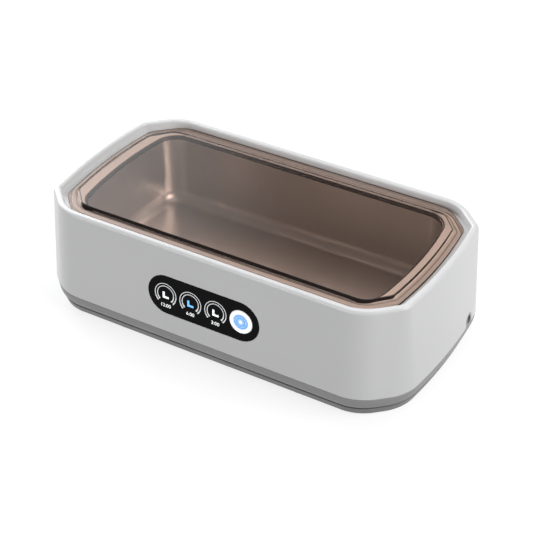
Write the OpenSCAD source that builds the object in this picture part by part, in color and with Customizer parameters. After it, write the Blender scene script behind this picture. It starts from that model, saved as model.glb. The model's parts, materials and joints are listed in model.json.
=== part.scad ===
// Tabletop ultrasonic cleaner: an eight-sided flared housing with bowed ends, a pressed
// steel tank, a loose clear lid, a push-button panel and the parts that drive the tank.
// Millimetres, +Z up. The origin is on the table, below the middle of the housing.

/* [Housing] */
// Length of the rim outline, between the points of its bowed ends
body_l = 200; // [198:0.5:206]
// Width of the rim outline, between its straight sides
body_w = 103.6; // [102:0.2:108]
// Height of the rim's crown above the table
body_h = 58; // [57:0.5:62]
// Distance along X that each cut corner takes from the side
corner_x = 20.3; // [19:0.1:22]
// Distance along Y that each cut corner takes from the end
corner_y = 15; // [14:0.1:16]
// How far the point of each end stands out past its corners
end_bow = 4.9; // [4:0.1:5.5]
// Corner radius where a straight side meets a cut corner
side_r = 21; // [18:1:24]
// Corner radius where a cut corner meets an end, at the rim
end_r = 8; // [6:0.5:10]
// The same corner radius at the table, which the walls blend to
end_r_low = 23.5; // [12:0.5:24]
// How much flatter the ends' bow is at the table than at the rim
bow_fade = 1.2; // [0:0.1:1.5]
// How much of that flattening moves the ends' points in
point_fade = 0.7; // [0:0.1:1]
// How far each wall leans out from the rim to the table
flare = 3.2; // [2.5:0.1:3.5]
// Thickness of the housing's wall
wall = 2.4; // [2:0.1:2.6]

/* [Rim and lid] */
// Width of the rim, from its outside to its inner wall
rim_w = 3.6; // [3.4:0.1:3.8]
// Depth of the ledge below the crown
ledge_drop = 4.2; // [4:0.1:4.6]
// Thickness of the lid's sheet
lid_t = 1.2; // [1:0.1:1.3]
// Height that the lid's flat centre stands above its flange
lid_rise = 1.5; // [1.4:0.1:1.8]
// Gap between the lid and the rim along the straight sides
lid_gap = 0.4; // [0.3:0.1:0.6]

/* [Tank] */
// Thickness of the tank's steel
tank_t = 0.8; // [0.6:0.1:0.9]
// Height of the tank's floor above the table
tank_floor_z = 18; // [17.8:0.1:20]
// Radius between the tank's floor and its walls
tank_r = 6; // [5:0.5:7]
// How far the tank's walls lean in from the opening to the floor radius
tank_draft = 1.5; // [1:0.1:1.8]
// Diameter of the transducer disc under the tank
piezo_d = 50; // [40:1:50]
// Thickness of the transducer disc
piezo_t = 3; // [2.5:0.1:3]

/* [Base] */
// Height of the top of the base frame's outer band
band_z = 11.6; // [11.2:0.1:12]
// Height of the seam between the base frame and the bottom cover
seam_z = 5.7; // [5.5:0.1:6]
// Height of the bottom cover's underside above the table
under_z = 1.1; // [1:0.1:1.4]
// Diameter of each foot
foot_d = 11; // [9:0.5:11]
// Distance of the feet from the middle along X
foot_x = 48; // [42:1:50]
// Distance of the feet from the middle along Y
foot_y = 44.5; // [42:0.5:44.5]

/* [Controls] */
// Distance of the panel's middle from the middle of the housing
panel_x = 0.3; // [-4:0.1:2]
// Height of the panel's middle above the table
panel_z = 32.2; // [31:0.1:34]
// Length of the panel
panel_l = 60; // [58:0.5:62]
// Height of the panel
panel_h = 20.6; // [20:0.1:21]
// Spacing of the three dials and the button
dial_pitch = 13.6; // [13.4:0.1:13.8]
// Diameter of the push button
button_d = 11.8; // [11:0.1:12]
// How far the push button travels
button_travel = 0.6; // [0.3:0.1:0.6]

/* [Inlet] */
// Distance of the power inlet from the middle along Y
jack_y = 23; // [20:0.5:24]
// Height of the power inlet above the table
jack_z = 14.6; // [14.4:0.1:14.8]
// Diameter of the inlet's access hole in the base frame
inlet_d = 4.2; // [4:0.1:4.6]

/* [Hidden] */
$fn = 48;

// Steps in each rounded corner, and in each bowed end, of an outline
corner_steps = 5;
bow_steps = 6;
// Flats around a wire
wire_sides = 16;
// Smallest corner radius that an outline keeps when it is moved inwards
least_r = 1.5;
// Share of each end's length that its bow rounds off
bow_share = 0.98;

// Outlines: half length, half width, corner X, corner Y, bow, side radius, end radius
body_shape = [body_l/2, body_w/2, corner_x, corner_y, end_bow, side_r, end_r];
lid_shape = [body_l/2 - 7, body_w/2 - rim_w - lid_gap, corner_x - 2.4, corner_y - 2.1,
    end_bow - 0.2, side_r - 4, end_r - 2];
raise_shape = [body_l/2 - 9.8, body_w/2 - 9.7, corner_x - 6.4, corner_y - 3.8,
    end_bow - 1.1, side_r - 10, end_r - 3];
tank_shape = [body_l/2 - 16.8, body_w/2 - 12.8, corner_x - 11.1, corner_y - 7.5,
    end_bow - 0.3, side_r - 9.7, end_r + 2];

// Heights
ledge_z = body_h - ledge_drop;
flange_z = ledge_z + lid_t;
plateau_z = flange_z + lid_rise;
gasket_t = 0.5;
tank_rim_z = ledge_z - 0.1 - gasket_t;
seat_z = tank_rim_z - tank_t;
ledge_under_z = seat_z - 1.8;
bead_z = tank_rim_z + 1;
tank_under_z = tank_floor_z - tank_t;
cover_floor_z = under_z + 2;

// Rim rounding
crown_r = 1.7;
brow_r = 1;

// Bottom screws: columns on the cover meet bosses under the housing's ledge
post_x = 62;
post_y = 45.5;
end_post_x = 89;
post_z = 12;
screw_spots = [[post_x, post_y], [-post_x, post_y], [-post_x, -post_y],
    [post_x, -post_y], [end_post_x, 0], [-end_post_x, 0]];
post_r = 4.2;
boss_r = 3.5;
screw_head_z = 3.9;
screw_head_r = 2.8;
screw_head_h = 2;
screw_r = 1.4;
screw_l = 16;
pilot_gap = 0.1;

// Bottom cover: board posts, air slots and foot pockets
board_post_r = 2.8;
slot_pitch = 6;
slot_w = 2;
slot_l = 18;
foot_t = 2;
foot_gap = 0.1;
foot_edge = 0.5;

// Driver board
board_x = 54;
board_y = 2;
board_l = 56;
board_w = 46;
board_z = 7;
board_t = 1.6;
board_top = board_z + board_t;
board_inset = 3.5;
board_screw_r = 0.9;
board_screw_head_r = 2;
board_screw_head_h = 1.3;
board_screw_l = 4.6;
board_hole_r = 1.3;

// Parts on the driver board: place in X and Y, and size
transformer_at = [60, 8];
core_size = [16, 14, 5];
window_w = 3;
leg_w = 4;
winding_size = [9.6, 9.6, 7.2];
core_lift = 1.1;
winding_gap = 0.1;
bulk_at = [73, 14];
bulk_r = 4;
bulk_h = 7.8;
film_at = [42, 17];
film_size = [11, 5, 7.6];
sink_x = 43;
sink_y = -12.2;
sink_size = [20, 1.6, 7.8];
fin_y = -15.5;
fin_pitch = 3;
fin_size = [1.1, 5, 7.8];
transistor_y = -9.2;
transistor_size = [10, 4.4, 7.6];
header_size = [6, 8, 5];
piezo_header_at = [30, 4];
power_header_at = [72, 2];
panel_header_at = [62, -17];
panel_header_size = [12, 6, 5];

// Leads
piezo_lead_r = 0.8;
cable_r = 1.1;
jack_lead_r = 0.7;
board_spots = [for (sx = [-1, 1], sy = [-1, 1])
    [board_x + sx*(board_l/2 - board_inset), board_y + sy*(board_w/2 - board_inset)]];

// Controls, measured along the panel's outward normal from its face
lean = atan(flare/(body_h - 0.65));
panel_t = 1.2;
dial_spots = [for (i = [-1.5, -0.5, 0.5]) i*dial_pitch];
button_x = 1.5*dial_pitch;
window_r = 5.1;
control_z = -8;
control_t = 1.2;
control_l = 66;
control_h = 16;
control_screw_x = 30.3;
control_screw_r = 0.95;
control_screw_head_r = 2;
control_screw_head_h = 1.2;
control_screw_l = 4.4;
control_boss_r = 2.6;
panel_fit = 0.1;
guide_h = 12;
guide_gap = 0.2;
led_size = [3, 2.4, 1.9];
led_well_r = 2.4;
led_well_h = 2.6;
button_led_y = 5.8;
button_gap = 0.2;
button_back = -3.9;
button_proud = 0.4;
button_chamfer = 0.3;
button_flange_r = 7;
button_flange_t = 1.2;
lens_r = 3.85;
lens_gap = 0.05;
lens_back = -2.2;
lens_t = 2.5;
switch_top = -4.8;
switch_w = 6;
plunger_l = 1.8;
plunger_r = 1.6;
plunger_gap = 0.1;
press_room = 0.3;
switch_well_z = button_back - plunger_l - button_travel - press_room;
plug_size = [8, 6, 2.6];
plug_x = 20;

// Inlet
jack_front = 94;
jack_back = 82.2;
jack_w = 9;
jack_h = 7.6;
jack_bore_r = 1.8;
jack_bore_back = 3;
pin_r = 0.65;
pin_l = 11;
tab_r = 3.2;
tab_gap = 0.15;
arch_start = 80;
arch_l = 30;
// Flats of the notch that the tab fits in
notch_sides = 12;

// How far the housing's outer wall stands inside the rim outline at a height
function wall_d(z) = -flare*(body_h - 0.65 - z)/(body_h - 0.65);
panel_y = wall_d(panel_z) - body_w/2;

// Corners of an outline, anticlockwise: X, Y and the corner radius (0 for a bow)
function corners(s) = [
    [s[0], 0, 0],
    [s[0] - s[4], s[1] - s[3], s[6]],
    [s[0] - s[2], s[1], s[5]],
    [s[2] - s[0], s[1], s[5]],
    [s[4] - s[0], s[1] - s[3], s[6]],
    [-s[0], 0, 0],
    [s[4] - s[0], s[3] - s[1], s[6]],
    [s[2] - s[0], -s[1], s[5]],
    [s[0] - s[2], -s[1], s[5]],
    [s[0] - s[4], s[3] - s[1], s[6]]];

// Outward normal of the edge from a to b
function edge_normal(a, b) = [b[1] - a[1], a[0] - b[0]]/norm([b[0] - a[0], b[1] - a[1]]);

// Point where the lines n0.p = c0 and n1.p = c1 meet
function meet(n0, c0, n1, c1) =
    [c0*n1[1] - c1*n0[1], c1*n0[0] - c0*n1[0]]/(n0[0]*n1[1] - n0[1]*n1[0]);

// Outline s moved inwards by d, as a list of points with every corner rounded
function outline(s, d) =
    let (c = corners(s), n = len(c))
    let (normals = [for (i = [0:n - 1]) edge_normal(c[i], c[(i + 1)%n])])
    let (offsets = [for (i = [0:n - 1]) normals[i]*[c[i][0], c[i][1]] - d])
    let (tips = [for (i = [0:n - 1]) let (j = (i + n - 1)%n)
        meet(normals[j], offsets[j], normals[i], offsets[i])])
    let (half = [for (i = [0:n - 1]) acos(min(1, normals[(i + n - 1)%n]*normals[i]))/2])
    let (cut = [for (i = [0:n - 1]) max(c[i][2] - d, least_r)*tan(half[i])])
    let (take = [for (i = [0:n - 1])
        c[i][2] > 0 ? cut[i] : bow_share*(norm(tips[i + 1] - tips[i]) - cut[i + 1])])
    [for (i = [0:n - 1])
        let (r = take[i]/tan(half[i]), n0 = normals[(i + n - 1)%n], n1 = normals[i])
        let (middle = tips[i] - (n0 + n1)/norm(n0 + n1)*r/cos(half[i]))
        let (start = atan2(n0[1], n0[0]), steps = c[i][2] > 0 ? corner_steps : bow_steps)
        for (k = [0:steps])
            middle + r*[cos(start + 2*half[i]*k/steps), sin(start + 2*half[i]*k/steps)]];

// The outline at a height
function ring(s, d, z) = [for (p = outline(s, d)) [p[0], p[1], z]];

// The housing's outline, which changes a little from the rim to the table
function body_at(z) = let (t = 1 - z/(body_h - 0.65))
    body_shape + t*[-point_fade, 0, -point_fade, 0, -bow_fade, 0, end_r_low - end_r];

// The housing's outline at a height, moved inwards by d
function body_ring(d, z) = ring(body_at(z), d, z);

// Skin over rings of equal length, from the lowest inner cap round to the highest one.
// A closed loft joins its last ring to its first and has no caps.
module loft(rings, closed = false) {
    n = len(rings[0]);
    m = len(rings);
    last = closed ? m - 1 : m - 2;
    sides = [for (k = [0:last], i = [0:n - 1], half = [0, 1])
        let (a = k*n + i, b = ((k + 1)%m)*n + i)
        let (c = ((k + 1)%m)*n + (i + 1)%n, d = k*n + (i + 1)%n)
        half == 0 ? [a, b, c] : [a, c, d]];
    caps = closed ? [] : [[for (i = [0:n - 1]) i], [for (i = [0:n - 1]) m*n - 1 - i]];
    polyhedron([for (r = rings) each r], concat(sides, caps), convexity = 10);
}

function unit(v) = v/norm(v);

// A path with each bend rounded over three radii of the wire
function softened(p, r) = concat([p[0]], [for (i = [1:len(p) - 2])
    let (back = p[i - 1] - p[i], ahead = p[i + 1] - p[i])
    let (reach = min(3*r, 0.4*norm(back), 0.4*norm(ahead)))
    let (s = p[i] + unit(back)*reach, e = p[i] + unit(ahead)*reach)
    each [s, (s + 2*p[i] + e)/4, e]], [p[len(p) - 1]]);

// A ring of points slid along a direction onto the plane through a point
function slid(ring, at, along, normal) =
    [for (q = ring) q + along*((at - q)*normal)/(along*normal)];

// The rings of a tube from its point i onwards
function tube_from(p, i, ring) = i == len(p) ? [] :
    let (along = unit(p[i] - p[i - 1]), ahead = i < len(p) - 1 ? unit(p[i + 1] - p[i]) : along)
    let (next = slid(ring, p[i], along, along + ahead))
    concat([next], tube_from(p, i + 1, next));

// A round wire along a path
module wire(points, r) {
    path = softened(points, r);
    along = unit(path[1] - path[0]);
    u = unit(cross(along, abs(along[2]) < 0.9 ? [0, 0, 1] : [1, 0, 0]));
    v = cross(along, u);
    first = [for (i = [0:wire_sides - 1])
        let (a = 360*i/wire_sides) path[0] + r*(cos(a)*u + sin(a)*v)];
    loft(concat([first], tube_from(path, 1, first)));
}

// A box given by its middle in X and Y, its foot in Z, and its size
module block(middle, size) {
    translate([middle[0] - size[0]/2, middle[1] - size[1]/2, middle[2]]) cube(size);
}

// Places children on the front face: +X along the panel, +Y up it, +Z out of it
module on_panel() {
    translate([panel_x, panel_y, panel_z]) rotate([90 - lean, 0, 0]) children();
}

// The same place for a point
function at_panel(p) = [panel_x + p[0], panel_y + p[1]*sin(lean) - p[2]*cos(lean),
    panel_z + p[1]*cos(lean) + p[2]*sin(lean)];

// A slab with round ends, from z0 to z1
module pill(length, height, z0, z1) {
    translate([-(length - height)/2, -height/2, z0]) cube([length - height, height, z1 - z0]);
    for (s = [-1, 1])
        translate([s*(length - height)/2, 0, z0]) cylinder(h = z1 - z0, d = height, $fn = 96);
}

// Places children at the inlet, with +Z along its axis, from a distance along X
module at_inlet(x) {
    translate([x, jack_y, jack_z]) rotate([0, 90, 0]) children();
}

// The straight foot of an arch about the inlet
module arch_foot(r, low_z) {
    translate([arch_start, jack_y - r, low_z]) cube([arch_l, 2*r, jack_z - low_z]);
}

// The arched bar that the inlet's tab is cut from
module tab_bar() {
    at_inlet(arch_start) cylinder(h = arch_l, r = tab_r);
    arch_foot(tab_r, band_z - 0.5);
}

// The notch that the tab fits in, whose arch has flats
module notch_bar() {
    r = tab_r + tab_gap;
    at_inlet(arch_start) rotate([0, 0, 180/notch_sides])
        cylinder(h = arch_l, r = r/cos(180/notch_sides), $fn = notch_sides);
    arch_foot(r, band_z - 2);
}

// A pan-head screw with a cross recess: its head's top at the origin, shank along +Z
module screw(head_r, head_h, shank_r, shank_l) {
    difference() {
        cylinder(h = head_h, r = head_r);
        for (a = [0, 90])
            rotate([0, 0, a]) translate([-head_r*0.55, -head_r*0.11, -1])
                cube([head_r*1.1, head_r*0.22, 1 + head_h*0.45]);
    }
    translate([0, 0, head_h]) cylinder(h = shank_l, r = shank_r);
}

module upper_housing() color([0.86, 0.86, 0.86]) {
    body = concat(
        [body_ring(wall_d(band_z), band_z),
            body_ring(wall_d(body_h - crown_r), body_h - crown_r)],
        [for (a = [30, 60, 90])
            body_ring(crown_r*(1 - cos(a)), body_h - crown_r*(1 - sin(a)))],
        [for (a = [0, 30, 60, 90])
            body_ring(rim_w - brow_r*(1 - sin(a)), body_h - brow_r*(1 - cos(a)))],
        [body_ring(rim_w, ledge_z),
            ring(raise_shape, -2.3, ledge_z),
            ring(raise_shape, -2.3, seat_z),
            ring(tank_shape, -2*tank_t, seat_z),
            ring(tank_shape, -2*tank_t, ledge_under_z),
            body_ring(wall_d(ledge_under_z) + wall, ledge_under_z),
            body_ring(wall_d(band_z) + wall, band_z)]);
    difference() {
        union() {
            loft(body, closed = true);
            for (p = screw_spots)
                translate([p[0], p[1], post_z])
                    cylinder(h = ledge_under_z - post_z + 0.5, r = boss_r);
            on_panel()
                for (s = [-1, 1])
                    translate([s*control_screw_x, 0, control_z])
                        cylinder(h = -control_z - 2, r = control_boss_r);
        }
        for (p = screw_spots)
            translate([p[0], p[1], post_z - 1]) cylinder(h = 13, r = screw_r + pilot_gap);
        on_panel() {
            pill(panel_l + 2*panel_fit, panel_h + 2*panel_fit, -panel_t, 5);
            for (x = dial_spots)
                translate([x, 0, -3]) cylinder(h = 3, r = window_r);
            translate([button_x, 0, -3]) cylinder(h = 3, r = button_d/2 + button_gap);
            for (s = [-1, 1])
                translate([s*control_screw_x, 0, control_z - 1])
                    cylinder(h = 5, r = control_screw_r + pilot_gap);
        }
        notch_bar();
    }
}

module tank() color([0.72, 0.73, 0.74]) {
    outer_r = tank_r + tank_t;
    bend_d = tank_draft + tank_r;
    bend_z = tank_floor_z + tank_r;
    loft(concat(
        [for (a = [90, 60, 30, 0])
            ring(tank_shape, bend_d - outer_r*cos(a), bend_z - outer_r*sin(a))],
        [ring(tank_shape, -tank_t, tank_rim_z - tank_t),
            ring(raise_shape, -2.1, tank_rim_z - tank_t),
            ring(raise_shape, -2.1, tank_rim_z),
            ring(raise_shape, 1.3, tank_rim_z),
            ring(raise_shape, 2.1, bead_z),
            ring(tank_shape, -0.9, bead_z),
            ring(tank_shape, -0.26, bead_z - 0.26),
            ring(tank_shape, 0, bead_z - 0.9)],
        [for (a = [0, 30, 60, 90])
            ring(tank_shape, bend_d - tank_r*cos(a), bend_z - tank_r*sin(a))]));
}

// Ring that covers the tank's flange, up to the edge of the opening
module tank_gasket() color([0.86, 0.86, 0.85]) loft([
    ring(raise_shape, -1.9, tank_rim_z),
    ring(raise_shape, -1.9, tank_rim_z + gasket_t),
    ring(raise_shape, 1.1, tank_rim_z + gasket_t),
    ring(raise_shape, 1.9, bead_z + gasket_t),
    ring(tank_shape, -0.9, bead_z + gasket_t),
    ring(tank_shape, -0.9, bead_z),
    ring(raise_shape, 2.1, bead_z),
    ring(raise_shape, 1.3, tank_rim_z)], closed = true);

module lid() color([0.45, 0.36, 0.31, 0.5]) {
    edge = 0.3;
    loft([
        ring(raise_shape, 2.4, plateau_z - lid_t),
        ring(raise_shape, 0.4, ledge_z),
        ring(lid_shape, edge, ledge_z),
        ring(lid_shape, 0, ledge_z + edge),
        ring(lid_shape, 0, flange_z - edge),
        ring(lid_shape, edge, flange_z),
        ring(raise_shape, 0, flange_z),
        ring(raise_shape, 2, plateau_z)]);
}

module base_frame() color([0.52, 0.52, 0.52]) {
    inner_d = 1.75;
    spigot_z = band_z + 4;
    difference() {
        union() {
            loft([
                body_ring(-0.9, seam_z),
                body_ring(-2, seam_z + 2.4),
                body_ring(wall_d(band_z), band_z),
                body_ring(wall_d(band_z) + wall + 0.2, band_z),
                body_ring(wall_d(spigot_z) + wall + 0.2, spigot_z),
                body_ring(inner_d, spigot_z),
                body_ring(inner_d, seam_z)], closed = true);
            intersection() {
                loft([
                    body_ring(wall_d(band_z - 1), band_z - 1),
                    body_ring(wall_d(jack_z + 6), jack_z + 6),
                    body_ring(inner_d, jack_z + 6),
                    body_ring(inner_d, band_z - 1)], closed = true);
                tab_bar();
            }
        }
        at_inlet(arch_start) cylinder(h = arch_l, d = inlet_d);
    }
}

module bottom_cover() color([0.43, 0.43, 0.43]) {
    difference() {
        union() {
            loft([
                body_ring(1.1, under_z),
                body_ring(0.6, under_z + 0.4),
                body_ring(-0.6, seam_z - 0.8),
                body_ring(0.6, seam_z - 0.8),
                body_ring(0.6, seam_z),
                body_ring(3, seam_z),
                body_ring(3.4, cover_floor_z)]);
            for (p = screw_spots)
                translate([p[0], p[1], cover_floor_z - 0.5])
                    cylinder(h = post_z - cover_floor_z + 0.5, r = post_r);
            for (p = board_spots)
                translate([p[0], p[1], cover_floor_z - 0.5])
                    cylinder(h = board_z - cover_floor_z + 0.5, r = board_post_r);
            block([(jack_front + jack_back)/2, jack_y, cover_floor_z - 0.5],
                [jack_w, jack_w - 1, jack_z - jack_h/2 - cover_floor_z + 0.5]);
        }
        for (p = screw_spots)
            translate([p[0], p[1], 0]) {
                cylinder(h = screw_head_z, r = screw_head_r + 0.3);
                cylinder(h = post_z + 1, r = screw_r + 0.3);
            }
        for (p = board_spots)
            translate([p[0], p[1], cover_floor_z + 0.4]) cylinder(h = board_z, r = 1);
        for (x = [-foot_x, foot_x], y = [-foot_y, foot_y])
            translate([x, y, 0]) cylinder(h = foot_t, r = foot_d/2 + foot_gap);
        for (i = [-3:3])
            translate([board_x + slot_pitch*i, board_y, 0]) {
                block([0, 0, 0], [slot_w, slot_l, cover_floor_z + 1]);
                for (s = [-1, 1])
                    translate([0, s*slot_l/2, 0]) cylinder(h = cover_floor_z + 1, d = slot_w);
            }
    }
}

// One rubber foot: side and end pick the corner
module foot(end, side) color([0.2, 0.2, 0.2])
    translate([end*foot_x, side*foot_y, 0]) {
        cylinder(h = foot_edge, r1 = foot_d/2 - foot_edge, r2 = foot_d/2);
        translate([0, 0, foot_edge]) cylinder(h = foot_t - foot_edge, d = foot_d);
    }

module base_screws() color([0.6, 0.6, 0.62])
    for (p = screw_spots)
        translate([p[0], p[1], screw_head_z - screw_head_h])
            screw(screw_head_r, screw_head_h, screw_r, screw_l);

module piezo_disc() color([0.85, 0.82, 0.72])
    translate([0, 0, tank_under_z - piezo_t]) cylinder(h = piezo_t, d = piezo_d, $fn = 96);

// A lead from its header to the disc's underside, at a distance along Y
module piezo_lead(y) {
    disc_z = tank_under_z - piezo_t;
    wire([[27, y, 11.2], [18, y, 11.2], [9, y, disc_z - 2*piezo_lead_r], [9, y, disc_z]], piezo_lead_r);
}

module piezo_lead_live() color([0.75, 0.1, 0.1]) piezo_lead(2);

module piezo_lead_return() color([0.1, 0.1, 0.1]) piezo_lead(6);

module driver_board() color([0.1, 0.4, 0.2])
    difference() {
        block([board_x, board_y, board_z], [board_l, board_w, board_t]);
        for (p = board_spots)
            translate([p[0], p[1], board_z - 1]) cylinder(h = board_t + 2, r = board_hole_r);
    }

module board_screws() color([0.7, 0.7, 0.72])
    for (p = board_spots)
        translate([p[0], p[1], board_top + board_screw_head_h]) rotate([180, 0, 0])
            screw(board_screw_head_r, board_screw_head_h, board_screw_r, board_screw_l);

// A box on the driver board, at a place, raised by lift
module on_board(at, size, lift = 0) {
    block([at[0], at[1], board_top + lift], size);
}

// A core with a middle leg between two windows
module transformer_core() color([0.2, 0.2, 0.2])
    difference() {
        on_board(transformer_at, core_size, core_lift);
        for (s = [-1, 1])
            on_board(transformer_at + [0, s*(leg_w + window_w)/2], [winding_size[0] + 0.4, window_w, 8]);
    }

module transformer_winding() color([0.85, 0.65, 0.2])
    difference() {
        on_board(transformer_at, winding_size);
        on_board(transformer_at, [10, leg_w + 2*winding_gap, core_size[2] + 2*winding_gap], core_lift);
    }

module bulk_capacitor() color([0.12, 0.14, 0.3])
    translate([bulk_at[0], bulk_at[1], board_top]) cylinder(h = bulk_h, r = bulk_r);

module film_capacitor() color([0.6, 0.1, 0.1]) on_board(film_at, film_size);

module power_transistor() color([0.1, 0.1, 0.1])
    on_board([sink_x, transistor_y], transistor_size);

module heat_sink() color([0.75, 0.76, 0.78]) {
    on_board([sink_x, sink_y], sink_size);
    for (i = [-3:3])
        on_board([sink_x + fin_pitch*i, fin_y], fin_size);
}

module piezo_header() color([0.9, 0.9, 0.86]) on_board(piezo_header_at, header_size);

module power_header() color([0.9, 0.9, 0.86]) on_board(power_header_at, header_size);

module panel_header() color([0.9, 0.9, 0.86]) on_board(panel_header_at, panel_header_size);

module control_board() color([0.1, 0.4, 0.2])
    on_panel() difference() {
        translate([-control_l/2, -control_h/2, control_z - control_t])
            cube([control_l, control_h, control_t]);
        for (s = [-1, 1])
            translate([s*control_screw_x, 0, control_z - 2]) cylinder(h = 3, r = board_hole_r);
    }

module control_screws() color([0.7, 0.7, 0.72])
    on_panel()
        for (s = [-1, 1])
            translate([s*control_screw_x, 0, control_z - control_t - control_screw_head_h])
                screw(control_screw_head_r, control_screw_head_h, control_screw_r, control_screw_l);

module control_panel() color([0.03, 0.03, 0.03])
    on_panel() difference() {
        pill(panel_l, panel_h, -panel_t, 0);
        translate([button_x, 0, -2]) cylinder(h = 3, r = button_d/2 + button_gap);
    }

// Milky block that carries each LED's light through its window to the panel
module light_guide() color([0.95, 0.95, 0.95, 0.8])
    on_panel() difference() {
        union() {
            translate([dial_spots[0] - guide_h/2, -guide_h/2, control_z])
                cube([dial_spots[2] - dial_spots[0] + guide_h, guide_h, -control_z - wall - 0.05]);
            for (x = dial_spots)
                translate([x, 0, -4]) cylinder(h = 4 - panel_t, r = window_r - guide_gap);
        }
        for (x = dial_spots)
            translate([x, 0, control_z - 1]) cylinder(h = led_well_h + 1, r = led_well_r);
    }

// An LED on the control board's front, at a place along and up the panel
module panel_led(x, y)
    on_panel() block([x, y, control_z], led_size);

module mode_led(i) color([0.95, 0.95, 0.85]) panel_led(dial_spots[i], 0);

module button_led() color([0.5, 0.7, 0.95]) panel_led(button_x, button_led_y);

module tact_switch() color([0.15, 0.15, 0.15])
    on_panel() difference() {
        block([button_x, 0, control_z], [switch_w, switch_w, switch_top - control_z]);
        translate([button_x, 0, switch_well_z])
            cylinder(h = switch_top - switch_well_z + 1, r = plunger_r + plunger_gap);
    }

module switch_plunger() color([0.85, 0.85, 0.82])
    on_panel() translate([button_x, 0, button_back - plunger_l]) cylinder(h = plunger_l, r = plunger_r);

module power_button() color([0.96, 0.96, 0.96])
    on_panel() difference() {
        union() {
            translate([button_x, 0, button_back]) cylinder(h = button_flange_t, r = button_flange_r);
            translate([button_x, 0, button_back])
                cylinder(h = button_proud - button_chamfer - button_back, d = button_d);
            translate([button_x, 0, button_proud - button_chamfer])
                cylinder(h = button_chamfer, r1 = button_d/2, r2 = button_d/2 - 0.4);
        }
        translate([button_x, 0, lens_back]) cylinder(h = 4, r = lens_r + lens_gap);
    }

module button_lens() color([0.45, 0.7, 0.95, 0.8])
    on_panel() translate([button_x, 0, lens_back]) cylinder(h = lens_t, r = lens_r);

module panel_connector() color([0.9, 0.9, 0.86])
    on_panel() block([plug_x, 0, control_z - control_t - plug_size[2]], plug_size);

module panel_cable() color([0.3, 0.3, 0.3]) {
    plug_z = control_z - control_t - plug_size[2]/2;
    wire([at_panel([plug_x, -plug_size[1]/2, plug_z]), at_panel([plug_x, -10, plug_z]), [32, -43.2, 13],
        [54, -36, 11.6], [60, -26, 11.4], [60, -20, 11.4]], cable_r);
}

module dc_jack() color([0.08, 0.08, 0.08])
    difference() {
        block([(jack_front + jack_back)/2, jack_y, jack_z - jack_h/2],
            [jack_front - jack_back, jack_w, jack_h]);
        at_inlet(jack_back + jack_bore_back) cylinder(h = 20, r = jack_bore_r);
        at_inlet(jack_back - 1) cylinder(h = 20, r = pin_r);
    }

module jack_pin() color([0.85, 0.7, 0.35])
    at_inlet(jack_back) cylinder(h = pin_l, r = pin_r);

module jack_lead_positive() color([0.75, 0.1, 0.1])
    wire([[jack_back, 24.8, 15.5], [79.5, 24.8, 15.5], [79.5, 4.5, 12.5], [75, 4.5, 12.5]], jack_lead_r);

module jack_lead_negative() color([0.1, 0.1, 0.1])
    wire([[jack_back, 20.2, 12], [80.2, 20.2, 12], [78.2, 0.8, 10.8], [75, 0.8, 10.8]], jack_lead_r);

upper_housing();
tank();
tank_gasket();
lid();
base_frame();
bottom_cover();
foot(-1, -1);  // foot_front_left
foot(1, -1);  // foot_front_right
foot(-1, 1);  // foot_rear_left
foot(1, 1);  // foot_rear_right
base_screws();
piezo_disc();
piezo_lead_live();
piezo_lead_return();
driver_board();
board_screws();
transformer_core();
transformer_winding();
bulk_capacitor();
film_capacitor();
power_transistor();
heat_sink();
piezo_header();
power_header();
panel_header();
control_board();
control_screws();
control_panel();
light_guide();
mode_led(0);  // mode_led_1
mode_led(1);  // mode_led_2
mode_led(2);  // mode_led_3
button_led();
tact_switch();
switch_plunger();
power_button();
button_lens();
panel_connector();
panel_cable();
dc_jack();
jack_pin();
jack_lead_positive();
jack_lead_negative();
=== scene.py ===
import json
import math

import bmesh
import bpy
from mathutils import Matrix, Vector


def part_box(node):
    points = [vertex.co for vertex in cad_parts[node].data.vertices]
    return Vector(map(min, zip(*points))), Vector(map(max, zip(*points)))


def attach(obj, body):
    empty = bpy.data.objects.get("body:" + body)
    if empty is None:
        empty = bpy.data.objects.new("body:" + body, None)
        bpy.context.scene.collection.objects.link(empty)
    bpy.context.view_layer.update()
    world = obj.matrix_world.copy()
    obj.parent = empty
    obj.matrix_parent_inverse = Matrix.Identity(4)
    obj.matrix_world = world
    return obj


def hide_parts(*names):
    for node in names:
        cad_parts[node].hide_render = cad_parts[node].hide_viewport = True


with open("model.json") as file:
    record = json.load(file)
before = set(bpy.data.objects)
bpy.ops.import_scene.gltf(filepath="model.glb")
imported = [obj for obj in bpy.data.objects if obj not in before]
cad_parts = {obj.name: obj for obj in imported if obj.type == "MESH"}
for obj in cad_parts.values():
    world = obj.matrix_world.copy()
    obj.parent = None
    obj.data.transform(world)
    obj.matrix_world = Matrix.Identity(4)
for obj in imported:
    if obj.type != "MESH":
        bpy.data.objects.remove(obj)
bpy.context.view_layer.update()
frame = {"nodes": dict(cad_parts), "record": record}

MM = 0.001
NODES = frame["nodes"]

# ---------------------------------------------------------------- sizes, in millimetres
# Outlines: half length, half width, corner X, corner Y, bow, side radius, end radius
BODY = (100.0, 51.8, 20.3, 15.0, 4.9, 21.0, 8.0)
LID = (93.0, 47.8, 17.9, 12.9, 4.7, 17.0, 6.0)
RAISE = (90.2, 42.1, 13.9, 11.2, 3.8, 11.0, 5.0)
TANK = (83.2, 39.0, 9.2, 7.5, 4.6, 11.3, 10.0)
CORNER_STEPS = 14
BOW_STEPS = 24
LEAST_R = 1.5
BOW_SHARE = 0.98
# The housing's wall: its flare from rim to table, its thickness, the rim's width and its two radii
FLARE = 3.2
FLARE_TOP = 0.65
WALL = 2.4
RIM_W = 3.6
CROWN_R = 1.7
BROW_R = 1.0
# How the housing's outline changes from the rim to the table
END_R_LOW = 23.5
BOW_FADE = 1.2
POINT_FADE = 0.7
LID_T = 1.2
TANK_T = 0.8


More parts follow.
